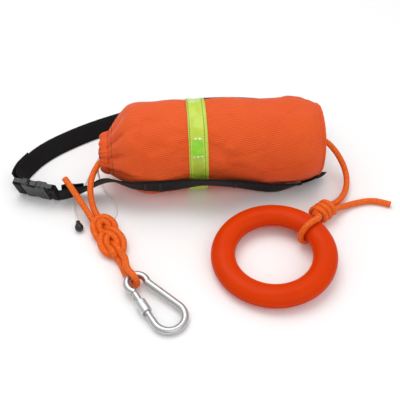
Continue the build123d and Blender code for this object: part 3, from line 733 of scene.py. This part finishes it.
def settle_cloth(obj):
    """Let the spare cloth settle between its seams, and keep the wrinkles that it makes."""
    pins = obj.vertex_groups.new(name="seams")
    for i, x in enumerate(BAG_XS):
        ends = max(near(x, HEM_X, 3.0), near(x, BAG_END, 3.0))
        tape = max(near(x, BAND_X - BAND_WIDTH / 2, 1.5), near(x, BAND_X + BAND_WIDTH / 2, 1.5))
        hold = max(ends, tape)
        if hold > 0.02:
            pins.add(range(i * AROUND, (i + 1) * AROUND), hold, "REPLACE")
    cloth = obj.modifiers.new("Cloth", "CLOTH")
    s = cloth.settings
    s.quality = 6
    s.mass = 0.35
    s.tension_stiffness = 20.0
    s.compression_stiffness = 20.0
    s.shear_stiffness = 8.0
    s.bending_stiffness = 0.2
    s.air_damping = 2.0
    s.vertex_group_mass = "seams"
    s.shrink_min = -0.03
    s.use_pressure = True
    s.uniform_pressure_force = 2.5
    s.effector_weights.gravity = 0.0
    cloth.point_cache.frame_start = 1
    cloth.point_cache.frame_end = SETTLE_FRAMES + 1
    for frame_number in range(1, SETTLE_FRAMES + 1):
        scene.frame_set(frame_number)
    evaluated = obj.evaluated_get(bpy.context.evaluated_depsgraph_get())
    settled = bpy.data.meshes.new_from_object(evaluated)
    obj.modifiers.clear()
    obj.vertex_groups.clear()
    scene.frame_set(1)
    keep_wrinkles(obj.data, settled)


def keep_wrinkles(mesh, settled):
    """Move each point in or out as the settled cloth did, less what its whole row moved."""
    for i, x in enumerate(BAG_XS):
        row = range(i * AROUND, (i + 1) * AROUND)
        fade = share_of(x, HEM_X, -112) * share_of(x, BAG_END, 126)
        axis = Vector((x, 0, axis_height(x))) * MM
        outs = [(mesh.vertices[k].co - axis).normalized() for k in row]
        ways = [settled.vertices[k].co - mesh.vertices[k].co for k in row]
        moves = [way.dot(out) / MM for way, out in zip(ways, outs)]
        middle = sum(moves) / len(moves)
        for k, out, move in zip(row, outs, moves):
            lift = SETTLE_LIMIT * math.tanh((move - middle) / SETTLE_LIMIT)
            if mesh.vertices[k].co.z < LYING_HEIGHT * MM:
                lift = 0
            mesh.vertices[k].co += out * (lift * fade * MM)
    mesh.update()


settle_cloth(bag)


def settled_row(i):
    """The cloth's own points on one row, in millimetres."""
    return [bag.data.vertices[i * AROUND + j].co / MM for j in range(AROUND)]


# The hem after its first row: place along the bag, radius, and how strongly its edge is ruffled
HEM_PROFILE = [
    (-127.6, 27.5, 0.2),
    (-129.4, 27.1, 0.45),
    (-131.0, 26.5, 0.7),
    (-132.6, 25.6, 0.9),
    (-134.2, 24.3, 1.0),
    (-135.6, 22.6, 1.05),
    (-136.3, 20.9, 1.05),
    (-136.0, 19.6, 1.0),
    (-134.8, 18.6, 0.9),
    (-132.0, 18.6, 0.7),
    (-129.0, 19.6, 0.5),
    (-126.0, 21.4, 0.2),
]
RUFFLE = 1.8


def hem_point(x, radius, pull, angle):
    """A point of the gathered hem."""
    fine, broad = fine_folds(angle), broad_folds(angle)
    r = radius + 1.3 * broad + 0.9 * fine
    shift = RUFFLE * pull * (fine + 0.6) + RUFFLE * pull * (broad + 0.4)
    return Vector((x - shift, r * math.cos(angle), axis_height(HEM_X) + r * math.sin(angle)))


def hem_rows():
    """The doubled hem: from the bag's edge over the drawcord's tunnel and back inside."""
    rows, uvs = [settled_row(0)], [round_uvs(HEM_X)]
    for x, radius, pull in HEM_PROFILE:
        rows.append([hem_point(x, radius, pull, turn(j)) for j in range(AROUND)])
        uvs.append(round_uvs(x))
    return rows, uvs


hem = grid_mesh("mouth_hem_cloth", *hem_rows(), HEM)


BAND_LIFT = 0.55           # the tape's underside above the cloth's own surface
TAPE_THICK, CLOTH_THICK = 0.5, 0.8
OUTWARD, INWARD = 1, -1


def band_rows():
    """Rows of the reflective tape, lying on the settled cloth."""
    first = next(i for i, x in enumerate(BAG_XS) if x >= BAND_X - BAND_WIDTH / 2)
    last = next(i for i, x in enumerate(BAG_XS) if x >= BAND_X + BAND_WIDTH / 2)
    rows, uvs = [], []
    for i in range(first, last + 1):
        on_row = [bag.data.vertices[i * AROUND + j] for j in range(AROUND)]
        lifted = [v.co / MM + v.normal * BAND_LIFT for v in on_row]
        rows.append([Vector((p.x, p.y, max(p.z, 0.3))) for p in lifted])
        uvs.append(round_uvs(BAG_XS[i] - BAND_X))
    return rows, uvs


def thicken(obj, thickness, side):
    """Give a skin its thickness, in millimetres, on one side."""
    wall = obj.modifiers.new("thick", "SOLIDIFY")
    wall.thickness = thickness * MM
    wall.offset = side


band = grid_mesh("reflective_tape", *band_rows(), TAPE)
thicken(band, TAPE_THICK, OUTWARD)
thicken(bag, CLOTH_THICK, INWARD)

# The bound seam's section: along the bag and outward, from the cloth's edge
RIM_SECTION = ((-2.4, 0.4), (-1.3, 1.3), (0.2, 1.6), (1.4, 0.9), (1.7, -0.8), (1.3, -2.4), (0.4, -3.6))


def rim_rows():
    """The seam round the base, where the end panel is sewn in: it follows the cloth's edge."""
    edge = settled_row(len(BAG_XS) - 1)
    rows, uvs = [], []
    for dx, dr in RIM_SECTION:
        row = []
        for p in edge:
            out = Vector((0, p.y, p.z - AXIS_Z)).normalized()
            q = p + out * dr + Vector((dx, 0, 0))
            row.append(Vector((q.x, q.y, max(q.z, 0.2))))
        rows.append(row)
        uvs.append(round_uvs(BAG_END + dx - dr))
    return rows, uvs


rim = grid_mesh("base_seam", *rim_rows(), HEM)

PACK_START, PACK_END = -97.0, 104.0
PACK_GAP = 7.0             # room for the cloth's creases
PACK_REST = 6.0            # height of its flat underside
PACK_STEPS = 24


def pack_rows():
    """The rope packed in the bag, clear of the cloth's creases, with closed ends."""
    span = [PACK_START + (PACK_END - PACK_START) * i / PACK_STEPS for i in range(PACK_STEPS + 1)]
    outline = [(x, smooth_outline(x) - PACK_GAP) for x in span]
    rows, uvs = [], []
    for x, r in [(PACK_START, 0.5)] + outline + [(PACK_END, 0.5)]:
        row = []
        for j in range(AROUND):
            z = axis_height(x) + r * math.sin(turn(j))
            row.append(Vector((x, r * math.cos(turn(j)), max(z, PACK_REST))))
        rows.append(row)
        uvs.append(round_uvs(x))
    return rows, uvs


pack = grid_mesh("packed_rope", *pack_rows(), ROPE)
for piece, stands_for in (
    (bag, "bag_body"),
    (hem, "mouth_hem"),
    (band, "reflective_band"),
    (rim, "base_binding"),
    (pack, "stuffed_rope"),
):
    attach(piece, ROOT)
    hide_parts(stands_for)

# ---------------------------------------------------------------- waist belt
def front_station(x, below, stand_off, lean):
    """A place on the bag's lower front: degrees below the axis, gap to the cloth, lean of the strap."""
    reach = smooth_outline(x) + WEB_THICK / 2 + stand_off
    a, b = math.radians(below), math.radians(lean)
    y = -reach * math.cos(a) + WEB_WIDTH / 2 * math.sin(b)
    z = AXIS_Z - reach * math.sin(a) - WEB_WIDTH / 2 * math.cos(b)
    return (x, y, z, lean)


# Stations of the belt's runs: its lower edge, and how far its top leans outward, in degrees
REAR_BELT = [
    (-237.8, -9.0, 2.0, 18),
    (-237.6, -2.4, 1.5, 20),
    (-236.4, 4.8, 1.0, 24),
    (-233.2, 12.6, 0.8, 28),
    (-220, 33, 0.8, 36),
    (-200, 53, 0.8, 40),
    (-170, 74, 0.8, 40),
    (-138, 91.5, 0.8, 40),
    (-100, 108, 0.8, 40),
    (-60, 120.5, 0.8, 40),
    (-20, 128, 0.8, 40),
    (20, 130.5, 0.8, 40),
    (60, 127.5, 0.8, 40),
    (98, 119, 0.8, 38),
    (126, 107, 0.8, 34),
    (144, 90, 1.2, 27),
    (152, 71, 3.5, 18),
    (150.5, 53, 8, 9),
    (144.5, 41, 14, 3),
    (141.4, 31, 17, 0),
    (139.8, 23, 18, 0),
    (138.6, 15, 18, 0),
    (138.6, -6, 18, 0),
]
FRONT_BELT = [
    front_station(132, 69, 1.0, 71),
    front_station(127, 61, 1.1, 63),
    front_station(120, 51, 1.2, 53),
    front_station(112, 42, 1.6, 43),
    front_station(99, 41, 3.0, 36),
    front_station(86, 41, 4.0, 28),
    front_station(73, 38, 3.8, 26),
    front_station(62, 36, 2.4, 25),
    front_station(47, 30, 1.1, 26),
    front_station(28, 22, 1.1, 30),
    front_station(9, 13, 4.2, 32),
    front_station(-11, 9, 5.2, 32),
    front_station(-28, 13, 2.8, 26),
    front_station(-46, 18, 1.1, 20),
    front_station(-64, 20, 1.1, 18),
    front_station(-82, 19, 1.1, 23),
    front_station(-98, 20, 1.3, 31),
    (-110.8, -37.8, 24.5, 37),
    (-121, -32.0, 24.6, 40),
    (-134, -26.5, 18.5, 40),
    (-147, -24.0, 10.5, 38),
    (-160, -26.0, 5.2, 33),
    (-171, -30.5, 3.4, 26),
    (-180, -34.5, 3.0, 21),
    (-190.9, -37.8, 3.3, 20),
]
BELT_TAIL = [
    (-243.0, -9.8, 2.6, 18),
    (-241.8, -2.0, 2.2, 20),
    (-239.2, 6.4, 1.6, 24),
    (-235.4, 14.4, 1.2, 28),
    (-226.2, 28.5, 1.2, 33),
]


BELT_STEPS = 6             # rows from one station to the next
# Half of the webbing's section: across from its lower edge, and out from its middle
WEB_FACE = ((0.0, 0.4), (0.3, 0.75), (6, 0.8), (12.5, 0.7), (19, 0.8), (24.7, 0.75), (25, 0.4))
WEB_AROUND = (0, 1, 6, 12.5, 19, 24, 25, 26, 27, 32, 38.5, 45, 50, 51, 52)


def between(stations):
    """Stations joined by smooth curves through them."""
    out = []
    for i in range(len(stations) - 1):
        p0, p1 = Vector(stations[max(i - 1, 0)]), Vector(stations[i])
        p2, p3 = Vector(stations[i + 1]), Vector(stations[min(i + 2, len(stations) - 1)])
        for k in range(BELT_STEPS):
            t = k / BELT_STEPS
            square = (2 * p0 - 5 * p1 + 4 * p2 - p3) * t**2
            cube = (3 * p1 - p0 - 3 * p2 + p3) * t**3
            out.append(0.5 * (2 * p1 + (p2 - p0) * t + square + cube))
    return out + [Vector(stations[-1])]


def strap(name, stations, wave=0.0):
    """Webbing on its edge through these stations, waved a little, with closed ends."""
    section = [(across, -depth) for across, depth in WEB_FACE] + list(WEB_FACE[::-1])
    line = between(stations)
    rows, uvs, run = [], [], 0.0
    for i, s in enumerate(line):
        before, after = line[max(i - 1, 0)], line[min(i + 1, len(line) - 1)]
        along = Vector((after.x - before.x, after.y - before.y, 0)).normalized()
        outward = Vector((-along.y, along.x, 0))
        lean = math.radians(s[3])
        up = outward * math.sin(lean) + Vector((0, 0, math.cos(lean)))
        side = up.cross(along).normalized()
        low = Vector(s[:3])
        if i:
            run += (low - Vector(line[i - 1][:3])).length
        sway = wave * noise.noise(Vector((run * 0.03, 0.5, len(stations))))
        row = []
        for across, depth in section:
            belly = sway * math.sin(math.pi * across / WEB_WIDTH)
            row.append(low + up * across + side * (depth + belly))
        rows.append(row)
        uvs.append([(run, v) for v in WEB_AROUND])
    obj = grid_mesh(name, rows, uvs, WEBBING)
    caps = bmesh.new()
    caps.from_mesh(obj.data)
    bmesh.ops.holes_fill(caps, edges=[e for e in caps.edges if e.is_boundary])
    caps.to_mesh(obj.data)
    caps.free()
    return obj


rear_belt = strap("belt_rear", REAR_BELT, 0.5)
front_belt = strap("belt_front", FRONT_BELT, 0.3)
belt_tail = strap("belt_tail_end", BELT_TAIL)
for piece, stands_for in (
    (rear_belt, ("belt_rear_strand",)),
    (front_belt, ("belt_front_strap", "belt_left_strand")),
    (belt_tail, ("belt_tail",)),
):
    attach(piece, ROOT)
    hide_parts(*stands_for)

# ---------------------------------------------------------------- floor and light
FLOOR_SIZE = 8.0           # metres
FLOOR_Z = -0.0002
bpy.ops.mesh.primitive_plane_add(size=FLOOR_SIZE, location=(0, 0, FLOOR_Z))
floor = bpy.context.object
floor.name = "floor"
floor_finish = plain("floor_white", (0.96, 0.96, 0.96), 0.7)
floor.data.materials.append(floor_finish)

# The room: a pale ceiling that darkens towards the walls, so that the metal has something to mirror
world = bpy.data.worlds.new("world")
world.use_nodes = True
sky = world.node_tree
height = sky.nodes.new("ShaderNodeSeparateXYZ")
sky.links.new(sky.nodes.new("ShaderNodeTexCoord").outputs["Generated"], height.inputs[0])
fade = sky.nodes.new("ShaderNodeValToRGB")
fade.color_ramp.elements[0].color = (0.25, 0.25, 0.26, 1)
fade.color_ramp.elements[1].color = (1, 1, 1, 1)
fade.color_ramp.elements[1].position = 0.6
sky.links.new(height.outputs["Z"], fade.inputs[0])
sky.links.new(fade.outputs[0], sky.nodes["Background"].inputs[0])
sky.nodes["Background"].inputs[1].default_value = 0.80
scene.world = world


def area_light(name, at, size, power):
    """A soft square light above or in front of the object, turned to the middle of the floor."""
    data = bpy.data.lights.new(name, "AREA")
    data.size = size
    data.energy = power
    light = bpy.data.objects.new(name, data)
    light.location = at
    light.rotation_euler = (-Vector(at)).to_track_quat("-Z", "Y").to_euler()
    scene.collection.objects.link(light)


area_light("key", (-0.3, 0.35, 1.6), 1.2, 10.5)
area_light("fill", (0.6, -1.3, 0.9), 1.4, 4)
